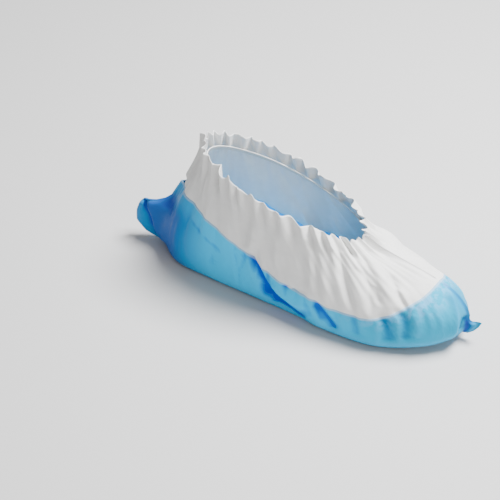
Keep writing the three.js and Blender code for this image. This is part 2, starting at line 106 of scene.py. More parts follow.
# Single folds, each along a line from one place to another: turn is the share of the way round
# and up the share of the way from the floor to the elastic. Bow bends the line sideways. Bow,
# depth and width are millimetres, sharp is 2 for a round fold and less for a creased one, and
# tip pushes the fold over to one side.
foldRows = [
    # turn, up, turnEnd, upEnd, bow, depth, width, sharp, tip
    (0.087, 0.52, 0.141, 0.38, 0.0, -0.9, 4.5, 1.6, 0.0),  # heel
    (0.184, 0.50, 0.212, 0.23, 1.5, -5.5, 5.5, 1.3, 2.0),  # waist crease
    (0.207, 0.23, 0.262, 0.03, -1.0, -6.0, 10.0, 1.4, 2.0),  # waist hollow
    (0.216, 0.10, 0.264, 0.00, 0.0, -3.0, 9.0, 1.6, 0.0),  # its lower end
    (0.210, 0.33, 0.268, 0.25, -2.0, 3.8, 7.5, 1.5, -1.5),  # waist lobe
    (0.240, 0.37, 0.272, 0.40, 0.0, -1.6, 2.6, 1.3, 0.0),
    (0.285, 0.37, 0.307, 0.13, 1.0, -3.6, 7.0, 1.4, 1.5),  # instep hollow
    (0.284, 0.32, 0.290, 0.20, 0.0, -1.0, 4.0, 1.4, 0.0),
    (0.276, 0.36, 0.292, 0.12, 0.0, 1.6, 6.0, 1.6, 0.0),
    (0.205, 0.82, 0.182, 0.52, 2.0, 2.2, 5.5, 1.8, 0.0),
    (0.220, 0.80, 0.198, 0.50, 1.0, -1.9, 6.5, 1.8, 0.0),
    (0.251, 0.87, 0.233, 0.56, 0.0, 1.5, 5.0, 1.8, 0.0),
    (0.265, 0.86, 0.247, 0.52, 0.0, -1.2, 5.5, 1.8, 0.0),
    (0.292, 0.85, 0.276, 0.50, 0.0, -1.2, 5.0, 1.8, 0.0),
    (0.316, 0.93, 0.285, 0.41, -3.0, 1.8, 5.0, 1.8, 0.0),
    (0.331, 0.95, 0.300, 0.50, -2.0, -1.6, 5.5, 1.8, 0.0),
    (0.365, 1.02, 0.336, 0.42, -5.0, 2.0, 5.5, 1.8, 0.0),
    (0.382, 1.02, 0.343, 0.46, -6.0, -2.8, 5.5, 1.5, 0.8),  # ball, long
    (0.339, 0.38, 0.339, 0.16, 0.0, -1.8, 8.0, 2.0, 0.0),
    (0.408, 1.00, 0.392, 0.82, 0.0, 1.6, 4.5, 1.8, 0.0),
    (0.399, 0.82, 0.372, 0.46, 0.0, -1.8, 4.5, 1.7, 0.4),
    (0.397, 0.65, 0.387, 0.52, 0.0, -1.4, 3.5, 1.7, 0.0),
    (0.384, 0.38, 0.383, 0.14, 0.0, -2.4, 8.5, 1.9, 0.0),
    (0.372, 0.38, 0.369, 0.12, 0.0, 1.6, 4.5, 1.8, 0.0),
    (0.399, 0.40, 0.396, 0.14, 0.0, 1.4, 3.5, 1.8, 0.0),
    (0.438, 0.73, 0.416, 0.45, -3.5, -2.4, 4.0, 1.6, 0.4),
    (0.428, 0.61, 0.419, 0.43, 0.0, 1.6, 3.5, 1.8, 0.0),
    (0.409, 0.42, 0.402, 0.16, 0.0, -2.6, 8.0, 1.8, 0.0),
    (0.419, 0.40, 0.416, 0.20, 0.0, 2.0, 4.5, 1.6, 0.0),
    (0.490, 0.44, 0.466, 0.12, -3.0, 3.4, 5.0, 1.5, 0.0),  # toe corner
    (0.494, 0.20, 0.484, 0.10, -2.0, -3.0, 6.5, 1.6, 0.0),
    (0.540, 0.50, 0.532, 0.15, 0.0, -2.6, 8.0, 1.7, 0.0),  # from here the outer side
    (0.578, 0.80, 0.570, 0.16, 3.0, -1.8, 6.0, 1.6, 0.0),
    (0.610, 0.90, 0.600, 0.12, 2.0, -2.4, 7.0, 1.6, 0.5),
    (0.628, 0.70, 0.622, 0.14, 0.0, 1.6, 6.0, 1.8, 0.0),
    (0.652, 0.95, 0.640, 0.14, 3.0, -3.1, 6.5, 1.5, -1.0),
    (0.684, 0.60, 0.678, 0.16, 0.0, 1.5, 6.0, 1.8, 0.0),
    (0.712, 0.90, 0.705, 0.15, 2.0, -2.9, 7.0, 1.5, 0.8),
    (0.742, 0.46, 0.728, 0.12, 0.0, -2.6, 5.0, 1.4, 1.0),
    (0.792, 0.52, 0.762, 0.12, 2.0, -4.6, 8.0, 1.4, -1.8),
    (0.806, 0.85, 0.792, 0.50, 0.0, 1.6, 6.0, 1.8, 0.0),
    (0.870, 0.52, 0.858, 0.18, 0.0, -1.6, 7.0, 1.7, 0.0),
]

# How a single fold fades at its ends, as shares of its length, and how much more slowly its
# pocket fades to the sides.
foldEnds = {"taper": 0.35, "overrun": 0.2, "pocket": 0.6}

# Small wrinkles, in millimetres: broad swells and fine ones.
wrinkles = {"broad": 0.5, "fine": 0.13}

# Noise on the cloth: its seed, the fewest and most waves round the cover, and the most waves
# for each millimetre up the wall.
noiseRows = {
    "uneven": (11, 3, 22, 0.004),
    "ragged": (12, 8, 44, 0.0),
    "broad": (5, 4, 14, 0.012),
    "fine": (6, 40, 95, 0.02),
    "crumples": (12, 18, 60, 0.05),
    "smallCrumples": (13, 30, 90, 0.09),
}

# The grid: columns round the cover, closer together at its two ends, and rows up the wall.
grid = {
    "columns": 840,
    "crowding": 0.25,
    "soleRows": 5,
    "rollRows": 5,
    "filmRows": 44,
    "lapRows": 4,
    "upperRows": 38,
    "frillRows": 9,
    "pathSteps": 120,
}


# Eases from 0 to 1: three squares less two cubes of a number held between 0 and 1.
def smoothStep(x):
    t = np.clip(x, 0, 1)
    return t * t * (3 - 2 * t)


# Vectors divided by their lengths.
def unit(v):
    return v / np.maximum(np.linalg.norm(v, axis=-1, keepdims=True), 1e-9)


# Turns less their whole part, from -0.5 to 0.5.
def wrapped(turn):
    return (turn + 0.5) % 1 - 0.5


# A smooth closed curve through rows that stand at equal turns. On each stretch it is the cubic
# whose slope at a row is half the difference of its two neighbours.
def roundCurve(rows, turn):
    place = (np.asarray(turn) % 1) * len(rows)
    i = np.floor(place).astype(int)
    t = place - i
    if rows.ndim > 1:
        t = t[..., None]
    a, b, c, d = (rows[(i + k) % len(rows)] for k in (-1, 0, 1, 2))
    return b + 0.5 * t * (c - a + t * (2 * a - 5 * b + 4 * c - d + t * (3 * (b - c) + d - a)))


# The columns' turns: equal steps, less a sine that draws them together at turns 0 and 0.5.
def columnTurns():
    even = np.arange(grid["columns"]) / grid["columns"]
    return even - grid["crowding"] * np.sin(4 * math.pi * even) / (4 * math.pi)


# A point of the sole's outline, seen from above, and the level direction in which it faces,
# which is the outline's own direction turned by a right angle.
def outlineAt(turn):
    places = outlineRows[:, :2]
    size = np.array([cover["length"], cover["width"]])
    step = 1e-3
    along = unit((roundCurve(places, turn + step) - roundCurve(places, turn - step)) * size)
    level = np.zeros(len(turn))
    point = np.column_stack([roundCurve(places, turn) * size, level])
    outward = np.column_stack([along[:, 1], -along[:, 0], level])
    return point, outward


# The elastic line: an ellipse seen from above, which slopes down to the front.
def mouthLine(turn):
    angle = math.pi * (1 - 2 * turn)
    share = 0.5 * (1 + np.cos(angle))
    x = cover["mouthSetback"] + cover["mouthLength"] * share
    y = -0.5 * cover["mouthWidth"] * np.sin(angle) - cover["mouthShift"] * share
    z = cover["mouthBack"] + (cover["mouthFront"] - cover["mouthBack"]) * share
    return np.column_stack([x, y, z])


# The plain wall at each turn, as a line of points with their distance from the floor line: a
# quarter circle of the sole's roll, a cubic curve with two handles up to the elastic, and the
# frill above it, which is straight.
def wallPaths(turn):
    widest, outward = outlineAt(turn)
    rise = (widest[:, 0] - cover["length"] + cover["toeLiftLength"]) / cover["toeLiftLength"]
    widest[:, 2] = cover["roll"] + cover["toeLift"] * smoothStep(rise)
    mouth = mouthLine(turn)
    level = mouth - widest
    level[:, 2] = 0
    inward = unit(level)
    climb, lean, reach, slope = roundCurve(wallRows, turn).T
    lean, slope = np.radians(lean), np.radians(slope)
    height = mouth[:, 2] - widest[:, 2]
    reach = reach * np.linalg.norm(mouth - widest, axis=1)
    low = (
        widest
        + (height * climb)[:, None] * zAxis
        + (height * np.sin(lean))[:, None] * outward
    )
    high = (
        mouth
        - (reach * np.cos(slope))[:, None] * inward
        - (reach * np.sin(slope))[:, None] * zAxis
    )
    angle = np.linspace(0, math.pi / 2, grid["rollRows"], endpoint=False)[None, :, None]
    roll = (
        widest[:, None]
        + cover["roll"] * (np.sin(angle) - 1) * outward[:, None]
        - cover["roll"] * np.cos(angle) * zAxis
    )
    t = np.linspace(0, 1, grid["pathSteps"])[None, :, None]
    wall = (
        (1 - t) ** 3 * widest[:, None]
        + 3 * t * (1 - t) ** 2 * low[:, None]
        + 3 * t ** 2 * (1 - t) * high[:, None]
        + t ** 3 * mouth[:, None]
    )
    steep = slope + math.radians(cover["frillFlare"])
    frillWay = np.cos(steep)[:, None] * inward + np.sin(steep)[:, None] * zAxis
    rim = mouth + cover["frill"] * frillWay
    points = np.concatenate([roll, wall, rim[:, None]], axis=1)
    steps = np.linalg.norm(np.diff(points, axis=1), axis=2)
    distances = np.concatenate([np.zeros((len(turn), 1)), np.cumsum(steps, axis=1)], axis=1)
    return points, distances


# Points of each column's path at the distances asked for, straight between the path's points.
def alongPaths(points, distances, wanted):
    after = (distances[:, None, :] <= wanted[:, :, None]).sum(axis=2)
    after = np.clip(after, 1, points.shape[1] - 1)
    column = np.arange(len(points))[:, None]
    low, high = distances[column, after - 1], distances[column, after]
    share = ((wanted - low) / (high - low))[..., None]
    return points[column, after - 1] * (1 - share) + points[column, after] * share


# Steps of a grid from column to column, round the cover, and from row to row.
def gridSteps(points):
    around = np.roll(points, -1, axis=0) - np.roll(points, 1, axis=0)
    upward = np.gradient(points, axis=1)
    return around, upward


# A grid's outward directions: the cross product of its two steps.
def gridNormals(points):
    around, upward = gridSteps(points)
    return unit(np.cross(around, upward))


# Soft noise on the cloth: a sum of sine waves with random phases. Each has a whole number of
# waves round the cover, so the noise closes at the heel, and its own slant up the wall.
def clothNoise(name, turn, distance, waves=14):
    seed, fewest, most, steepest = noiseRows[name]
    random = np.random.default_rng(seed)
    total = np.zeros(np.broadcast(turn, distance).shape)
    for _ in range(waves):
        count = random.integers(fewest, most + 1)
        climb = random.uniform(-steepest, steepest)
        phase = random.uniform(0, 2 * math.pi)
        total += np.sin(2 * math.pi * (count * turn + climb * distance) + phase)
    return total / math.sqrt(waves / 2)


# One fold on the grid: a bell across the line between its ends, fading in and out past them.
# Places are millimetres round the cover and up the wall, and the line's bow is a parabola. A
# fold that goes in has a pocket, which spreads further to both sides; the pocket's depth is used
# only for painted shade on the film.
def foldBell(row, turn, distance, elastic):
    turnStart, upStart, turnEnd, upEnd, bow, depth, width, sharp, tip = row
    lengths = np.interp([turnStart, turnEnd], turn[:, 0], elastic[:, 0])
    start = np.array([turnStart * cover["girth"], upStart * lengths[0]])
    end = np.array([turnEnd * cover["girth"], upEnd * lengths[1]])
    way = end - start
    size = math.hypot(*way)
    way = way / size
    x = turn * cover["girth"] - start[0]
    y = distance - start[1]
    along = (x * way[0] + y * way[1]) / size
    across = y * way[0] - x * way[1] - 4 * bow * np.clip(along * (1 - along), -0.5, 0.25)
    taper, overrun = foldEnds["taper"], foldEnds["overrun"]
    fade = smoothStep((along + overrun) / taper) * smoothStep((1 + overrun - along) / taper)
    spread = np.abs(across / width) ** sharp
    bell = fade * np.exp(-spread)
    pocket = max(-depth, 0) * fade * np.exp(-foldEnds["pocket"] * spread)
    return depth * bell, -tip * way[1] * bell, pocket


# How far the gathers and their folds stand out, and how far the frill curls aside. The gathers
# are a cosine round the cover, with pinched valleys, which fades exponentially below the
# elastic. The folds are a slower cosine, as deep as x times e to the power 1 - x.
def gatherHeights(turn, distance, below):
    lean = roundCurve(gathers["lean"] * leanRows, turn) / 100
    angle = 2 * math.pi * (turn + lean * np.clip(below, 0, gathers["leanLength"]))
    drift = sum(part * np.sin(count * angle) for part, count in gathers["driftWaves"])
    crests = angle + 2 * math.pi * gathers["drift"] * drift
    uneven = 1 + gathers["uneven"] * clothNoise("uneven", turn, distance)
    frill = np.clip(-below / cover["frill"], 0, 1)
    pleat = np.cos(gathers["count"] * crests)
    pinched = 2 * np.abs(np.cos(0.5 * gathers["count"] * crests)) - 1
    pleat = pleat + gathers["pinch"] * (1 - frill) * (pinched - pleat)
    fade = np.exp(-np.clip(below, 0, None) / gathers["fade"])
    gather = gathers["depth"] * pleat * uneven * fade * (1 + gathers["ruffle"] * frill)
    peak = below / gathers["foldPeak"]
    deep = np.where(below > 0, peak * np.exp(1 - peak), 0)
    folds = gathers["foldDepth"] * np.cos(gathers["foldCount"] * crests) * deep * uneven
    turned = np.sin(gathers["count"] * crests + gathers["curlUneven"] * uneven)
    return gather + folds, gathers["curl"] * frill ** 2 * turned


# How far the cloth stands out of the plain wall, how far it leans along it, and how deep the
# pockets of its single folds are: the sum of gathers, wrinkles and single folds, each faded
# out towards the floor, and the single folds towards the elastic too.
def foldHeights(turn, distance, elastic):
    below = elastic - distance
    out, aside = gatherHeights(turn, distance, below)
    for name, depth in wrinkles.items():
        out = out + depth * clothNoise(name, turn, distance)
    offFloor = smoothStep((distance - cover["roll"]) / (3 * cover["roll"]))
    offSole = smoothStep(distance / cover["roll"] - 1 / 3)
    offElastic = smoothStep(below / gathers["fade"])
    out, aside = out * offFloor, aside * offFloor
    pocket = np.zeros(out.shape)
    for row in foldRows:
        depth, tip, inside = foldBell(row, turn, distance, elastic)
        out = out + depth * offElastic * offSole
        aside = aside + tip * offElastic * offSole
        pocket = pocket + inside
    return out, aside, pocket


# The cloth on a grid of turns and distances from the floor line, and its pockets. Extra is its
# offset from the plain wall. The wall is moved along its normal by the folds' height and along
# the grid by their lean.
def clothGrid(turn, distance, paths, extra):
    plain = alongPaths(*paths, distance)
    elastic = paths[1][:, -2:-1]
    out, aside, pocket = foldHeights(turn[:, None], distance, elastic)
    around, _ = gridSteps(plain)
    lifted = plain + gridNormals(plain) * (out + extra)[..., None]
    return lifted + unit(around) * aside[..., None], pocket


# The ears at the film's lower corners. Each row goes from a root, a share of the way up the
# film, to the rim: out and lift are shares of the ear's reach, and fold is the share of the way
# out at which the ear is creased over. Before the crease the ear swings to one side, dips
# behind it and comes part of the way back. Strip is the cloth on each side that is drawn into
# the ear. Strip and fillet have a length and a share of the reach that is added to it. The
# shade is painted shadow, partly for doubled film, and the groove painted shade in a line
# along the ear's root.
toeEar = {
    "turn": 0.5,
    "reach": 13.0,
    "rows": np.array([
        # root, out, lift, fold
        (0.00, 0.0, 0.0, 0.5), (0.03, 0.0, 0.0, 0.5), (0.07, 0.3, -0.2, 0.5),
        (0.12, 0.62, 0.0, 0.5), (0.17, 0.9, 0.3, 0.5), (0.21, 1.05, 0.55, 0.5),
        (0.235, 0.7, 0.35, 0.5), (0.26, 0.4, 0.15, 0.5), (0.30, 0.22, 0.05, 0.4),
        (0.40, 0.17, 0.0, 0.4), (0.92, 0.17, 0.0, 0.4), (0.97, 0.10, 0.0, 0.4),
        (1.00, 0.05, 0.0, 0.4),
    ]),
    "strip": 5.0,
    "stripShare": 0.4,
    "fillet": 2.0,
    "filletShare": 0.08,
    "swing": 2.2,
    "dip": 0.30,
    "valley": 0.9,
    "back": 0.3,
    # painted shadow, partly for doubled film:
    "shade": 0.45,
    "shadeReach": 22.0,
    "shadeFade": 6.0,
    "shadeTop": 1.0,
    "grooveShade": 1.0,
}
heelEar = {
    "turn": 0.0,
    "reach": 29.0,
    "rows": np.array([
        # root, out, lift, fold
        (0.00, 0.0, 0.0, 0.1), (0.04, 0.0, 0.0, 0.1), (0.08, 0.3, -0.05, 0.15),
        (0.16, 0.75, -0.08, 0.25), (0.27, 1.0, -0.08, 0.34), (0.40, 1.02, -0.06, 0.47),
        (0.52, 0.98, -0.04, 0.75), (0.58, 0.86, -0.06, 0.92), (0.63, 0.5, -0.06, 0.95),
        (0.67, 0.25, 0.0, 0.9), (0.74, 0.14, 0.0, 0.8), (1.00, 0.12, 0.0, 0.8),
    ]),
    "strip": 7.0,
    "stripShare": 0.85,
    "fillet": 2.5,
    "filletShare": 0.72,
    "swing": -4.0,
    "dip": 0.17,
    "valley": 0.9,
    "back": 1.2,
    # painted shadow, partly for doubled film:
    "shade": 0.92,
    "shadeReach": 98.0,
    "shadeFade": 64.0,
    "shadeTop": 0.4,
    "grooveShade": 0.0,
}

# What every fin shares, an ear as well as a weld, in millimetres or as shares.
finShape = {
    "half": 0.35,  # half its thickness
    "whole": 3.0,  # reach from which its fillet and thickness are whole
    "rimShare": 0.25,  # part of its strip that is drawn together at the rim
    "rimWidth": 0.2,  # width that is left there
    # where the painted shade of a groove lies along a fin's root:
    "grooveMiddle": -0.5,  # its way from the root
    "grooveWidth": 5.0,
    "grooveReach": 1.2,  # reach from which there is a groove
    "grooveRise": 2.5,
}


# The grid column at an ear's middle, and each column's distance round the cover from it.
def earColumn(turn, ear):
    centre = int(np.argmin(np.abs(wrapped(turn - ear["turn"]))))
    return centre, (wrapped(turn - turn[centre]) * cover["girth"])[:, None]


# A fin's profile. Share goes from 0 at the strip's edges to 1 at the rim, and run is the way
# along the cloth from the root: below 0 it is on the wall, and above 0 on the fin. A hyperbola,
# the root of the squares of run and fillet, rounds the corner: out is half of it and run, and
# wide half of it less run. Both are shifted so that the strip's edges stay where they are.
def finProfile(side, reach, there, ear):
    strip = ear["strip"] + ear["stripShare"] * reach
    share = np.clip(1 - np.abs(side) / strip, 0, 1)
    run = share * (strip + reach) - strip
    fillet = (ear["fillet"] + ear["filletShare"] * reach) * there
    bow = np.sqrt(run ** 2 + fillet ** 2)
    slack = 0.5 * (np.sqrt(strip ** 2 + fillet ** 2) - strip) * (1 - share)
    out = 0.5 * (bow + run) - slack
    wide = 0.5 * (bow - run) - slack
    thin = smoothStep((1 - share) / finShape["rimShare"])
    wide = wide * (thin + (1 - thin) * finShape["rimWidth"])
    return share, run, out, wide + finShape["half"] * smoothStep(3 * share) * there


# How far a fin swings aside: straight lines over its way out, up to the crease, down into the
# valley behind it and part of the way back.
def finSwing(way, past, fold, reach, ear):
    dipped = 1 - (1 + ear["valley"]) * np.clip(past, 0, 1)
    rest = 1 - np.minimum(fold + ear["dip"], 0.9)
    back = ear["back"] * np.clip(past - 1, 0, None) * ear["dip"] / rest
    return ear["swing"] * reach / ear["reach"] * np.where(past < 0, way / fold, dipped + back)


# Draws a strip of cloth out to a fin along one turn, where its two sides meet. Reach, lift and
# fold say for each row how far out and how far up the rim lies, and at which share of the way
# the fin is creased. Also hands back where the painted shade of its groove lies, and where it
# lies past its crease.
def drawFin(points, turn, ear, reach, lift, fold):
    centre, side = earColumn(turn, ear)
    outward = outlineAt(turn[centre:centre + 1])[1][0]
    across = np.array([outward[1], -outward[0], 0.0])
    reach, lift = reach[None, :], lift[None, :]
    there = smoothStep(reach / finShape["whole"])
    share, run, out, wide = finProfile(side, reach, there, ear)
    root = points[centre:centre + 1]
    towards = (points - root) / np.maximum(np.abs(side), 1e-6)[..., None]
    way = np.clip(out / np.maximum(reach, 1e-6), 0, 1)
    past = (way - fold) / ear["dip"]
    swing = finSwing(way, past, fold, reach, ear)
    moved = (
        root
        + towards * wide[..., None]
        + out[..., None] * outward
        + (lift * way)[..., None] * zAxis
        + swing[..., None] * across
    )
    # painted shade in a line along the fin's root
    grooveShade = np.exp(-((run - finShape["grooveMiddle"]) / finShape["grooveWidth"]) ** 2)
    grooveShade = grooveShade * smoothStep((reach - finShape["grooveReach"]) / finShape["grooveRise"])
    grooveShade = grooveShade * smoothStep(4 * share)
    return np.where(share[..., None] > 0, moved, points), grooveShade, smoothStep(past) * there


# How deep each point lies in a crease: its depth under the mean of its neighbours, which
# repeated averaging over the grid gives.
def creaseDepth(points, rounds):
    smooth = points
    for _ in range(rounds):
        sides = np.roll(smooth, 1, axis=0) + np.roll(smooth, -1, axis=0)
        padded = np.pad(smooth, ((0, 0), (1, 1), (0, 0)), mode="edge")
        smooth = (sides + padded[:, 2:] + padded[:, :-2]) / 4
    return ((smooth - points) * gridNormals(points)).sum(axis=2)


# Millimetres from the heel's back to metres from the row frame's origin.
def toRow(points):
    return (points - np.array(cover["middle"])) * 0.001


# A mesh of quads through a grid that closes round the cover. The UV map is millimetres round
# the cover and up the wall, and each attribute is one number for a point of the grid.
def gridPiece(name, points, turn, distance, attributes):
    columns, rows = points.shape[:2]
    index = np.arange(columns * rows).reshape(columns, rows)
    after = np.roll(index, -1, axis=0)
    corners = np.stack([index[:, :-1], after[:, :-1], after[:, 1:], index[:, 1:]], axis=-1)
    corners = corners.reshape(-1, 4)
    mesh = bpy.data.meshes.new(name)
    mesh.vertices.add(columns * rows)
    mesh.vertices.foreach_set("co", toRow(points).astype(np.float32).ravel())
    mesh.loops.add(corners.size)
    mesh.loops.foreach_set("vertex_index", corners.astype(np.int32).ravel())
    mesh.polygons.add(len(corners))
    mesh.polygons.foreach_set("loop_start", np.arange(0, corners.size, 4, dtype=np.int32))
    mesh.polygons.foreach_set("use_smooth", np.ones(len(corners), bool))
    for key, values in attributes.items():
        layer = mesh.attributes.new(key, "FLOAT", "POINT")
        layer.data.foreach_set("value", values.astype(np.float32).ravel())
    mesh.update()
    edges = np.append(turn, turn[0] + 1) * cover["girth"]
    left = np.broadcast_to(edges[:-1, None], (columns, rows))
    right = np.broadcast_to(edges[1:, None], (columns, rows))
    ahead = np.roll(distance, -1, axis=0)
    uv = np.stack([
        np.stack([left[:, :-1], distance[:, :-1]], axis=-1),
        np.stack([right[:, :-1], ahead[:, :-1]], axis=-1),
        np.stack([right[:, 1:], ahead[:, 1:]], axis=-1),
        np.stack([left[:, 1:], distance[:, 1:]], axis=-1),
    ], axis=2)
    layer = mesh.uv_layers.new(name="cloth")
    layer.data.foreach_set("uv", uv.astype(np.float32).ravel())
    piece = bpy.data.objects.new(name, mesh)
    bpy.context.scene.collection.objects.link(piece)
    return piece


# Makes one point of those that lie closer together than a distance in metres.
def mergePoints(piece, distance):
    work = bmesh.new()
    work.from_mesh(piece.data)
    bmesh.ops.remove_doubles(work, verts=work.verts, dist=distance)
    work.to_mesh(piece.data)
    work.free()


# Gives a sheet its thickness, inwards from its face.
def thicken(piece, millimetres):
    wall = piece.modifiers.new("wall", "SOLIDIFY")
    wall.thickness = millimetres * 0.001
    wall.offset = -1


# Shader nodes as Python expressions: a wire is a node's output, and arithmetic on it adds
# Math nodes.
class Wire:
    def __init__(self, finish, socket):
        self.finish = finish
        self.socket = socket

    def math(self, operation, first, second):
        return self.finish.node("Math", {"operation": operation}, {0: first, 1: second})

    def __add__(self, other):
        return self.math("ADD", self, other)

    __radd__ = __add__

    def __sub__(self, other):
        return self.math("SUBTRACT", self, other)

    def __rsub__(self, other):
        return self.math("SUBTRACT", other, self)

    def __mul__(self, other):
        return self.math("MULTIPLY", self, other)

    __rmul__ = __mul__

    def __pow__(self, other):
        return self.math("POWER", self, other)

    def limited(self):
        settings = {"operation": "ADD", "use_clamp": True}
        return self.finish.node("Math", settings, {0: self, 1: 0.0})


# A material and the nodes that it is made of.
class Finish:
    def __init__(self, name):
        self.material = bpy.data.materials.new(name)
        self.material.use_nodes = True
        self.tree = self.material.node_tree
        self.tree.nodes.clear()

    # Adds a node: its kind, its settings, the values or wires of its sockets, and the output
    # that is handed back.
    def node(self, kind, settings=None, sockets=None, output=0):
        made = self.tree.nodes.new("ShaderNode" + kind)
        for key, value in (settings or {}).items():
            setattr(made, key, value)
        for key, value in (sockets or {}).items():
            if isinstance(value, Wire):
                self.tree.links.new(value.socket, made.inputs[key])
            else:
                made.inputs[key].default_value = value
        return Wire(self, made.outputs[output]) if made.outputs else made

    def attribute(self, name):
        return self.node("Attribute", {"attribute_name": name}, output="Fac")

    def place(self):
        return self.node("TexCoord", output="Object")

    def uv(self):
        return self.node("UVMap", {"uv_map": "cloth"})

    def noise(self, where, scale, detail, roughness=0.5):
        return self.node("TexNoise", {}, {
            "Vector": where, "Scale": scale, "Detail": detail, "Roughness": roughness,
        })

    def between(self, factor, first, second):
        return self.node("Mix", {"data_type": "RGBA"}, {0: factor, 6: first, 7: second}, output=2)

    def bump(self, height, distance, strength, under=None):
        sockets = {"Height": height, "Distance": distance, "Strength": strength}
        if under is not None:
            sockets["Normal"] = under
        return self.node("Bump", {}, sockets)

    def surface(self, sockets):
        shader = self.node("BsdfPrincipled", {}, sockets)
        self.node("OutputMaterial", {}, {"Surface": shader})
        return self.material


# Blue film: darker towards the toe and deeper in creases, hollows and fold pockets, all painted
# shade; painted shadow about the ears, partly for doubled film; a painted highlight at the top
# of the toe; paler along its edge and on its crests.
filmLook = {
    "blue": (0.000, 0.570, 0.990, 1),
    # painted shade: the film's colour turns darker towards the toe
    "toe": (0.000, 0.360, 0.570, 1),
    # painted shade in creases, hollows and fold pockets, and at the toe over doubled film too:
    "deep": (0.000, 0.065, 0.600, 1),
    "toeShade": (0.000, 0.170, 0.350, 1),
    "pale": (0.060, 0.450, 0.800, 1),
    # painted highlight at the top of the toe:
    "paintedHighlight": (0.140, 0.480, 0.800, 1),
    "edge": (0.420, 0.580, 0.760, 1),
    # painted shadow, partly for doubled film:
    "doubled": (0.020, 0.072, 0.360, 1),
    "shine": (0.05, 0.65, 1.00, 1),
    "index": 1.15,
    "roughness": 0.28,
    "roughnessSpread": 0.16,
    "clouds": (38.0, 3.0),  # each noise's scale and detail
    "streaks": (160.0, 4.0),
    "grain": (1400.0, 2.0),
    "streakBump": (0.0010, 0.12),  # each bump's height in metres and strength
    "grainBump": (0.0002, 0.30),
    # painted shade: how strongly creases, hollows and fold pockets darken the film
    "creaseShade": (1.2, 0.30, 0.10),  # gain for creases, for hollows, and the depth left out
    "raised": (1.6, 0.12),
    "cloudShare": 0.15,
    "cloudStart": 0.35,
    "crestShare": 0.4,
    "highlightMix": 0.8,
    "highlightStart": 0.42,
    "highlightGain": 7.0,
    "paintedShadeShare": 0.94,
    "edgeShare": 0.75,
}


# The film's colour is laid on in turn: painted shade towards the toe, clouds, crests, a painted
# highlight, painted shade in creases, painted shadow over doubled film, painted shade in grooves
# and the edge, each mixed in by its own share.
def filmFinish():
    look = filmLook
    finish = Finish("filmFinish")
    place = finish.place()
    clouds = finish.noise(place, *look["clouds"])
    streaks = finish.noise(place, *look["streaks"])
    grain = finish.noise(place, *look["grain"])
    crease, hollow = finish.attribute("crease"), finish.attribute("hollow")
    toe = finish.attribute("toe")
    # painted shade in creases, hollows and fold pockets
    creaseGain, hollowGain, start = look["creaseShade"]
    creaseShade = crease * creaseGain + hollow * hollowGain - start + finish.attribute("pocket")
    creaseGain, hollowGain = look["raised"]
    raised = (crease * -creaseGain + hollow * -hollowGain).limited()
    # painted highlight in patches at the top of the toe
    highlightPatches = ((streaks - look["highlightStart"]) * look["highlightGain"]).limited()
    deep = finish.between(toe, look["deep"], look["toeShade"])
    doubledAndShadowColor = finish.between(toe, look["doubled"], look["toeShade"])
    # painted shade: darker towards the toe
    color = finish.between(toe, look["blue"], look["toe"])
    color = finish.between((clouds - look["cloudStart"]) * look["cloudShare"], color, look["pale"])
    color = finish.between(raised * look["crestShare"], color, look["pale"])
    highlightMask = finish.attribute("highlightArea") * highlightPatches * look["highlightMix"]
    color = finish.between(highlightMask, color, look["paintedHighlight"])
    color = finish.between(creaseShade.limited() * look["paintedShadeShare"], color, deep)
    # painted shadow about the ears, partly for doubled film
    color = finish.between(finish.attribute("doubled"), color, doubledAndShadowColor)
    # painted shade in the grooves along the ears' roots
    color = finish.between(finish.attribute("grooveShade"), color, look["doubled"])
    color = finish.between(finish.attribute("edge") * look["edgeShare"], color, look["edge"])
    normal = finish.bump(streaks, *look["streakBump"])
    normal = finish.bump(grain, *look["grainBump"], normal)
    return finish.surface({
        "Base Color": color,
        "Roughness": streaks * look["roughnessSpread"] + look["roughness"],
        "IOR": look["index"],
        "Specular Tint": look["shine"],
        "Normal": normal,
    })


# White spunbond: thin clouds of fibre, a fine grid of bonding points and loose fibres, with
# painted shade in its creases.
nonwovenLook = {
    "white": (0.800, 0.800, 0.790, 1),
    "thin": (0.700, 0.705, 0.700, 1),
    "pointPitch": 1.5,
    "pointBump": (-0.00012, 0.5),
    "clouds": (130.0, 4.0),
    "cloudShare": 1.4,
    "cloudStart": 0.40,
    "creaseShadeShare": 0.3,
    "fibres": (900.0, 3.0, 0.7),
    "fibreBump": (0.0004, 0.35),
    "roughness": 0.82,
    "roughnessSpread": 0.1,
    "sheen": 0.15,
}


# The bonding points are the product of two cosines that run slantwise, squared where it is
# above 0.
def nonwovenFinish():
    look = nonwovenLook
    finish = Finish("nonwovenFinish")
    place = finish.place()
    waves = 2 * math.pi / look["pointPitch"]
    uv = finish.node("VectorMath", {"operation": "SCALE"}, {0: finish.uv(), "Scale": waves})
    across = finish.node("SeparateXYZ", {}, {0: uv}, output=0)
    upward = finish.node("SeparateXYZ", {}, {0: uv}, output=1)
    wave = finish.node("Math", {"operation": "COSINE"}, {0: across + upward})
    wave = wave * finish.node("Math", {"operation": "COSINE"}, {0: across - upward})
    points = wave.limited() ** 2.0
    clouds = finish.noise(place, *look["clouds"])
    fibres = finish.noise(place, *look["fibres"])
    cloudy = (clouds - look["cloudStart"]) * look["cloudShare"]
    color = finish.between(cloudy, look["white"], look["thin"])
    # painted shade: greyer in the creases
    creased = finish.attribute("crease").limited() * look["creaseShadeShare"]
    color = finish.between(creased, color, look["thin"])
    normal = finish.bump(fibres, *look["fibreBump"])
    normal = finish.bump(points, *look["pointBump"], normal)
    return finish.surface({
        "Base Color": color,
        "Roughness": clouds * look["roughnessSpread"] + look["roughness"],
        "Sheen Weight": look["sheen"],
        "Normal": normal,
    })


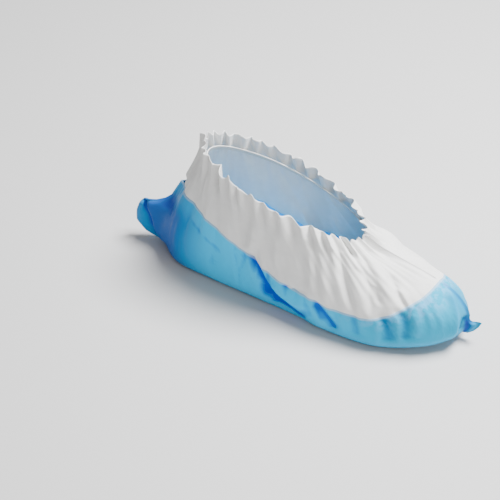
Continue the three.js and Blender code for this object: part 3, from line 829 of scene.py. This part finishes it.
# Elastic tape: off-white, with fine ribs along it.
elasticLook = {
    "white": (0.82, 0.81, 0.77, 1),
    "shade": (0.62, 0.61, 0.58, 1),
    "ribPitch": 0.8,
    "ribShare": 0.25,
    "threads": (700.0, 3.0),
    "threadShare": 0.5,
    "bump": (0.0002, 0.6),
    "roughness": 0.55,
    "roughnessSpread": 0.2,
}


# The ribs are a sine up the tape.
def elasticFinish():
    look = elasticLook
    finish = Finish("elasticFinish")
    upward = finish.node("SeparateXYZ", {}, {0: finish.uv()}, output=1)
    waves = upward * (2 * math.pi / look["ribPitch"])
    ribs = finish.node("Math", {"operation": "SINE"}, {0: waves})
    threads = finish.noise(finish.place(), *look["threads"])
    light = (ribs * look["ribShare"] + threads * look["threadShare"]).limited()
    return finish.surface({
        "Base Color": finish.between(light, look["shade"], look["white"]),
        "Roughness": threads * look["roughnessSpread"] + look["roughness"],
        "Normal": finish.bump(ribs * 0.5 + threads, *look["bump"]),
    })


# The film's thickness, crumples and shades, in millimetres or as shares.
filmShape = {
    "thickness": 0.2,
    "off": 0.12,  # outside the plain wall
    "pressed": 0.22,  # how far its edge is pressed back in
    "pressedLength": 1.5,
    "crumple": 0.18,
    "crumpleSharp": 3.0,
    "crumpleStart": 2.0,
    "crumpleRise": 12.0,
    "crumpleEverywhere": 0.2,
    "crumpleToe": 0.6,
    # the toe's colour is painted shade:
    "toeStart": 150.0,  # where the toe's colour and crumples begin, from the heel's back
    "toeRise": 120.0,
    "waist": 105.0,
    "waistWidth": 38.0,
    "creaseRounds": 6,
    "hollowRounds": 60,
    # depth at which the painted shade of a fold pocket is whole:
    "pocketDepth": 5.0,
    # how the ears' painted shadow fades towards the film's top and past the crease:
    "shadeTopStart": 0.65,
    "shadeTopRise": 0.3,
    "shadePast": 0.3,  # how much lighter an ear is past its crease
    "edgeStart": 1.0,
    "edgeRise": 2.0,
    # where the painted highlight lies at the top of the toe, and the strip over its ear left out:
    "highlightFrom": 0.6,
    "highlightRise": 0.3,
    "looseWidth": 16.0,  # of the loose strip over the toe's ear
    "looseFade": 6.0,
    "looseTop": 0.7,
    "looseTopFade": 0.2,
}


# The film's offset from the plain wall: its edge is pressed in, and its crumples are ridges
# where either of two noises is near 0, e to the power of minus its size.
def filmOffset(turn, distance, edge, toe, waist):
    shape = filmShape
    pressed = 1 - smoothStep((edge - distance) / shape["pressedLength"])
    crumple = sum(
        np.exp(-shape["crumpleSharp"] * np.abs(clothNoise(name, turn, distance)))
        for name in ("crumples", "smallCrumples")
    )
    flat = smoothStep((distance - shape["crumpleStart"]) / shape["crumpleRise"]) * (1 - pressed)
    where = shape["crumpleEverywhere"] + shape["crumpleToe"] * toe + waist
    ridges = flat * shape["crumple"] * crumple * where
    return shape["off"] - shape["pressed"] * pressed + ridges


# Draws the ears out of the film. Also hands back how deep their painted shadow is, partly for
# doubled film, which fades with the distance from the ear, and how deep the painted shade in
# their grooves is.
def drawEars(wall, turn, share):
    shape = filmShape
    doubled = np.zeros(wall.shape[:2])
    grooveShades = np.zeros(wall.shape[:2])
    for ear in (toeEar, heelEar):
        centre, side = earColumn(turn, ear)
        root, out, lift, fold = ear["rows"].T
        up = share[centre]
        reach = ear["reach"] * np.interp(up, root, out)
        raised = ear["reach"] * np.interp(up, root, lift)
        creased = np.interp(up, root, fold)
        wall, grooveShade, past = drawFin(wall, turn, ear, reach, raised, creased)
        # painted shadow, partly for doubled film, fading away from the ear and towards the top
        shade = smoothStep((ear["shadeReach"] - np.abs(side)) / ear["shadeFade"])
        top = smoothStep((share - shape["shadeTopStart"]) / shape["shadeTopRise"])
        shade = shade * (1 - ear["shadeTop"] * top) * (1 - shape["shadePast"] * past)
        doubled = np.maximum(doubled, ear["shade"] * shade)
        grooveShades = np.maximum(grooveShades, ear["grooveShade"] * grooveShade)
    return wall, doubled, grooveShades


# Where a painted highlight lies on the film: at the top of the toe, but not over its ear.
def highlightShare(turn, share, toe):
    shape = filmShape
    offToe = np.abs(wrapped(turn - toeEar["turn"])) * cover["girth"]
    loose = 1 - smoothStep((offToe - shape["looseWidth"]) / shape["looseFade"])
    loose = loose * (1 - smoothStep((share - shape["looseTop"]) / shape["looseTopFade"]))
    highlightArea = smoothStep((share - shape["highlightFrom"]) / shape["highlightRise"])
    return toe ** 2 * highlightArea * (1 - loose)


# The film: one sheet from the middle line of the sole out to the floor line, round the roll
# and up the wall to its edge, drawn out to an ear and a weld at each end. The sole is straight
# between the floor line and its mirror image.
def makeFilm(turn, paths, edge):
    shape = filmShape
    column, edge = turn[:, None], edge[:, None]
    rollLength = math.pi / 2 * cover["roll"]
    rollShare = np.linspace(0, 1, grid["rollRows"], endpoint=False)
    wallShare = np.linspace(0, 1, grid["filmRows"])
    distance = np.concatenate([
        np.broadcast_to(rollLength * rollShare, (len(turn), len(rollShare))),
        rollLength + (edge - rollLength) * wallShare,
    ], axis=1)
    share = distance / edge
    along = paths[0][:, 0, :1]
    toe = smoothStep((along - shape["toeStart"]) / shape["toeRise"])
    waist = np.exp(-((along - shape["waist"]) / shape["waistWidth"]) ** 2)
    offset = filmOffset(column, distance, edge, toe, waist)
    wall, pocket = clothGrid(turn, distance, paths, offset)
    wall, doubled, grooveShades = drawEars(wall, turn, share)
    floor = wall[:, :1]
    middle = (floor + np.roll(floor[::-1], 1, axis=0)) / 2
    soleShare = np.linspace(0, 1, grid["soleRows"], endpoint=False)[None, :, None]
    sole = middle * (1 - soleShare) + floor * soleShare
    # Attributes for painted shade in creases, hollows and pockets, painted shadow about the ears,
    # painted shade in grooves and a painted highlight; the edge band is the film's own colour.
    shades = {
        "crease": creaseDepth(wall, shape["creaseRounds"]),
        "hollow": creaseDepth(wall, shape["hollowRounds"]),
        "pocket": smoothStep(pocket / shape["pocketDepth"]),
        "doubled": doubled,
        "grooveShade": grooveShades,
        "edge": 1 - smoothStep((edge - distance - shape["edgeStart"]) / shape["edgeRise"]),
        "toe": np.broadcast_to(toe, share.shape),
        "highlightArea": highlightShare(column, share, toe),
    }
    inSole = np.zeros(sole.shape[:2])
    attributes = {key: np.concatenate([inSole, shades[key]], axis=1) for key in shades}
    points = np.concatenate([sole, wall], axis=1)
    distance = np.concatenate([-np.linalg.norm(sole - floor, axis=2), distance], axis=1)
    piece = gridPiece("film_tray", points, turn, distance, attributes)
    mergePoints(piece, 1e-6)
    thicken(piece, shape["thickness"])
    piece.data.materials.append(filmFinish())
    return piece


# The upper's thickness, its edge under the film and its welds, which are fins.
upperShape = {
    "thickness": 0.4,
    "pressed": 0.16,  # how far it is pressed in under the film
    "pressedLength": 1.2,
    "creaseRounds": 8,
    "weldReach": 3.6,
    "weldStart": 12.0,  # stretch above the film's edge in which the weld rises
    "weldFold": 0.5,
}
weldFin = {"strip": 5.0, "stripShare": 0.4, "fillet": 2.5, "filletShare": 0.25, "swing": 0.0}


# The upper: one sheet from its hidden lower edge up to the frill's rim, with a weld at each end.
def makeUpper(turn, paths, edge):
    shape = upperShape
    column, edge = turn[:, None], edge[:, None]
    elastic = paths[1][:, -2:-1]
    lapShare = np.linspace(0, 1, grid["lapRows"], endpoint=False)
    wallShare = np.linspace(0, 1, grid["upperRows"], endpoint=False)
    frillShare = np.linspace(0, 1, grid["frillRows"])
    ragged = 1 + gathers["ragged"] * clothNoise("ragged", column, 0.0)
    distance = np.concatenate([
        edge - cover["lap"] * (1 - lapShare),
        edge + (elastic - edge) * wallShare,
        elastic + cover["frill"] * ragged * frillShare,
    ], axis=1)
    over = distance - edge
    offset = -shape["pressed"] * (1 - smoothStep(over / shape["pressedLength"]))
    points, _ = clothGrid(turn, distance, paths, offset)
    for ear in (toeEar, heelEar):
        centre, _ = earColumn(turn, ear)
        reach = shape["weldReach"] * smoothStep(over[centre] / shape["weldStart"])
        weld = {**ear, **weldFin}
        points, _, _ = drawFin(points, turn, weld, reach, 0 * reach, shape["weldFold"])
    creases = {"crease": creaseDepth(points, shape["creaseRounds"])}
    piece = gridPiece("nonwoven_upper", points, turn, distance, creases)
    thicken(piece, shape["thickness"])
    piece.data.materials.append(nonwovenFinish())
    return piece


# The elastic tape, in millimetres, which lies inside the gathers. Its section is a
# superellipse: the sine and cosine of its angle, raised to the power square.
elasticShape = {"width": 5.0, "thickness": 1.0, "inside": 3.4, "sides": 16, "square": 0.35}


# A number's size raised to a power, with the number's own sign.
def signedPower(x, power):
    return np.sign(x) * np.abs(x) ** power


# The elastic: the tape's section, carried round the mouth on every second column.
def makeElastic(turn, paths):
    shape = elasticShape
    turn = turn[::2]
    paths = (paths[0][::2], paths[1][::2])
    line = paths[1][:, -2:-1] + np.array([[-shape["width"], 0.0, shape["width"]]])
    rows = alongPaths(*paths, line)
    normal = gridNormals(rows)[:, 0]
    upward = unit(rows[:, 1] - rows[:, 0])
    angle = np.linspace(0, 2 * math.pi, shape["sides"], endpoint=False)[::-1]
    high = signedPower(np.sin(angle), shape["square"]) * shape["width"] / 2
    deep = signedPower(np.cos(angle), shape["square"]) * shape["thickness"] / 2
    centre = rows[:, 1] - normal * (shape["inside"] + shape["thickness"] / 2)
    section = (
        centre[:, None]
        + upward[:, None] * high[None, :, None]
        + normal[:, None] * deep[None, :, None]
    )
    section = np.concatenate([section, section[:, :1]], axis=1)
    up = np.broadcast_to(np.append(high, high[0]), section.shape[:2])
    piece = gridPiece("elastic_tape", section, turn, up, {})
    mergePoints(piece, 1e-7)
    piece.data.materials.append(elasticFinish())
    return piece


# The plain floor, which is not part of the object.
floorLook = {"half": 6.0, "color": (0.55, 0.55, 0.55, 1), "roughness": 0.8}


# The floor: one square about the origin.
def makeFloor():
    half = floorLook["half"]
    mesh = bpy.data.meshes.new("floor")
    corners = [(-half, -half, 0), (half, -half, 0), (half, half, 0), (-half, half, 0)]
    mesh.from_pydata(corners, [], [(0, 1, 2, 3)])
    floor = bpy.data.objects.new("floor", mesh)
    bpy.context.scene.collection.objects.link(floor)
    finish = Finish("floorFinish")
    mesh.materials.append(finish.surface({
        "Base Color": floorLook["color"],
        "Roughness": floorLook["roughness"],
    }))


# Soft studio light: a pale sky, a broad light over the toe and a weaker one at the heel.
lights = {
    "sky": 0.40,
    "key": {"place": (0.45, 0.35, 1.30), "size": 0.7, "power": 78.0},
    "fill": {"place": (1.10, -0.70, 0.80), "size": 1.0, "power": 6.0},
    "aim": (0.02, 0.0, 0.04),
}


# A round area light that faces the aim.
def addLight(name):
    values = lights[name]
    data = bpy.data.lights.new(name, "AREA")
    data.shape = "DISK"
    data.size = values["size"]
    data.energy = values["power"]
    lamp = bpy.data.objects.new(name, data)
    lamp.location = values["place"]
    way = Vector(values["place"]) - Vector(lights["aim"])
    lamp.rotation_euler = way.to_track_quat("Z", "Y").to_euler()
    bpy.context.scene.collection.objects.link(lamp)


def makeLights():
    world = bpy.data.worlds.new("studio")
    bpy.context.scene.world = world
    world.use_nodes = True
    sky = world.node_tree.nodes["Background"]
    sky.inputs["Color"].default_value = (1, 1, 1, 1)
    sky.inputs["Strength"].default_value = lights["sky"]
    addLight("key")
    addLight("fill")


# The photograph's view: the camera looks from the inner side and the toe's end, from above.
view = {
    "target": (-0.0521, -0.0079, 0.030),
    "azimuth": 26.06,
    "elevation": 39.86,
    "distance": 1.382,
    "lens": 106.6,
    "sensor": 36.0,
}


# The camera stands off its target by the distance, turned by its azimuth and elevation.
def makeCamera():
    azimuth, elevation = math.radians(view["azimuth"]), math.radians(view["elevation"])
    back = Vector((
        math.sin(azimuth) * math.cos(elevation),
        -math.cos(azimuth) * math.cos(elevation),
        math.sin(elevation),
    ))
    data = bpy.data.cameras.new("camera")
    data.lens = view["lens"]
    data.sensor_width = view["sensor"]
    camera = bpy.data.objects.new("camera", data)
    camera.location = Vector(view["target"]) + back * view["distance"]
    camera.rotation_euler = back.to_track_quat("Z", "Y").to_euler()
    bpy.context.scene.collection.objects.link(camera)
    bpy.context.scene.camera = camera


makeCamera()
print("camera placed")

turns = columnTurns()
paths = wallPaths(turns)
filmEdge = cover["film"] * roundCurve(outlineRows[:, 2], turns)
print("plain wall worked out")

film = makeFilm(turns, paths, filmEdge)
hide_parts("sole_film", "toe_ear", "heel_ear")
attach(film, "root")
print("film made")

upper = makeUpper(turns, paths, filmEdge)
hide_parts("upper", "toe_weld", "heel_weld")
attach(upper, "root")
print("upper made")

tape = makeElastic(turns, paths)
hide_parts("elastic_band")
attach(tape, "root")
print("elastic made")

makeFloor()
makeLights()
print("floor and lights made")
